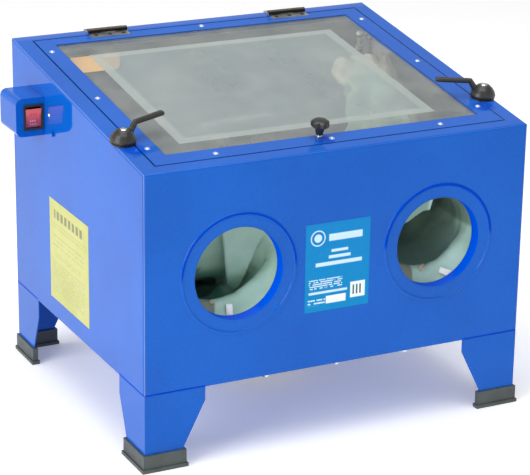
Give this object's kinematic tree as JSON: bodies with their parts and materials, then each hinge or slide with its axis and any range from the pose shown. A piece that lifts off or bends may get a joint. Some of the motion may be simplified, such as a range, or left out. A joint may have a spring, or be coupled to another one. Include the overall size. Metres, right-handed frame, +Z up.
{
  "type": "sandblast cabinet",
  "caption": "Bench-top abrasive blast cabinet with a sloping hinged window lid, clamp levers, glove ports, gun, hopper and angle legs.",
  "frame": {"origin": "on the bench under the middle of the cabinet body, at the bottom of the rubber boots", "axes": "+Z up, +X to the right seen from the front, the glove ports face -Y; +X along the cabinet's longest side"},
  "size_m": [0.676, 0.498, 0.5007],
  "materials": {
    "blue_paint": "gloss, baked",
    "seal_foam": "matt foam",
    "plated_steel": "zinc plated, bright",
    "bare_steel": "worn by grit",
    "boot_rubber": "matt",
    "glove_rubber": "rubberised cloth, matt",
    "black_plastic": "moulded, satin",
    "hose_rubber": "smooth",
    "gun_alloy": "sand cast",
    "nozzle_ceramic": "fired ceramic",
    "trigger_red": "painted",
    "rocker_red": "translucent red",
    "lamp_diffuser": "frosted, warm",
    "window_glass": "clear, polished",
    "window_film": "hazy film",
    "label_blue": "printed",
    "label_yellow": "printed"
  },
  "bodies": {
    "cabinet": {"front_panel": "blue_paint", "left_panel": "blue_paint", "right_panel": "blue_paint", "rear_panel": "blue_paint", "hopper": "blue_paint", "hopper_outlet": "blue_paint", "leg_front_left": "blue_paint", "leg_front_right": "blue_paint", "leg_rear_left": "blue_paint", "leg_rear_right": "blue_paint", "port_collars": "blue_paint", "grate_rails": "blue_paint", "lid_ledge": "blue_paint", "switch_box": "blue_paint", "lid_seal": "seal_foam", "hopper_bolts": "plated_steel", "leg_bolts": "plated_steel", "panel_screws": "plated_steel", "hinge_pins": "plated_steel", "hinge_screws": "plated_steel", "clamp_nuts": "plated_steel", "trigger_pin": "plated_steel", "sleeve_clamps": "plated_steel", "air_elbow": "plated_steel", "air_inlet": "plated_steel", "floor_grate": "bare_steel", "gun_hook": "bare_steel", "pickup_tube": "bare_steel", "hinge_rear_leaves": "bare_steel", "rubber_boots": "boot_rubber", "glove_left": "glove_rubber", "glove_right": "glove_rubber", "dust_port": "black_plastic", "switch_bezel": "black_plastic", "power_inlet": "black_plastic", "lamp_housing": "black_plastic", "air_hose": "hose_rubber", "suction_hose": "hose_rubber", "lamp_cable": "hose_rubber", "gun_body": "gun_alloy", "gun_nozzle": "nozzle_ceramic", "lamp_lens": "lamp_diffuser", "front_label": "label_blue", "side_label": "label_yellow"},
    "lid": {"lid_frame": "blue_paint", "window_glass": "window_glass", "window_film": "window_film", "glass_retainer": "blue_paint", "lid_screws": "plated_steel", "hinge_front_leaves": "bare_steel", "clamp_plates": "black_plastic"},
    "lever_left": {"lever_left": "black_plastic", "lever_left_screw": "plated_steel"},
    "lever_right": {"lever_right": "black_plastic", "lever_right_screw": "plated_steel"},
    "knob": {"lid_knob": "black_plastic", "knob_stud": "plated_steel"},
    "switch_rocker": {"rocker": "rocker_red"},
    "trigger": {"gun_trigger": "trigger_red"},
    "gate": {"outlet_gate": "bare_steel"}
  },
  "joints": [
    {"name": "lid_hinge", "type": "hinge", "parent": "cabinet", "child": "lid", "pos_m": [0, 0.22596, 0.49673], "axis": [-1, 0, 0], "range_deg": [0, 100]},
    {"name": "lever_left_turn", "type": "hinge", "parent": "lid", "child": "lever_left", "pos_m": [-0.281, -0.14402, 0.43943], "axis": [0, -0.1414, 0.9899], "range_deg": [0, 180]},
    {"name": "lever_right_turn", "type": "hinge", "parent": "lid", "child": "lever_right", "pos_m": [0.281, -0.14402, 0.43943], "axis": [0, -0.1414, 0.9899], "range_deg": [0, 180]},
    {"name": "knob_turn", "type": "hinge", "parent": "lid", "child": "knob", "pos_m": [-0.016, -0.20293, 0.43101], "axis": [0, -0.1414, 0.9899], "continuous": true},
    {"name": "rocker_tilt", "type": "hinge", "parent": "cabinet", "child": "switch_rocker", "pos_m": [-0.312, 0.117, 0.41], "axis": [-1, 0, 0], "range_deg": [0, 14]},
    {"name": "trigger_pull", "type": "hinge", "parent": "cabinet", "child": "trigger", "pos_m": [0.088, 0.214, 0.308], "axis": [0, -1, 0], "range_deg": [0, 14], "stiffness_Nm_per_rad": 0.05, "springref_deg": -17.19},
    {"name": "gate_slide", "type": "slide", "parent": "cabinet", "child": "gate", "axis": [1, 0, 0], "range_m": [0, 0.085]}
  ]
}
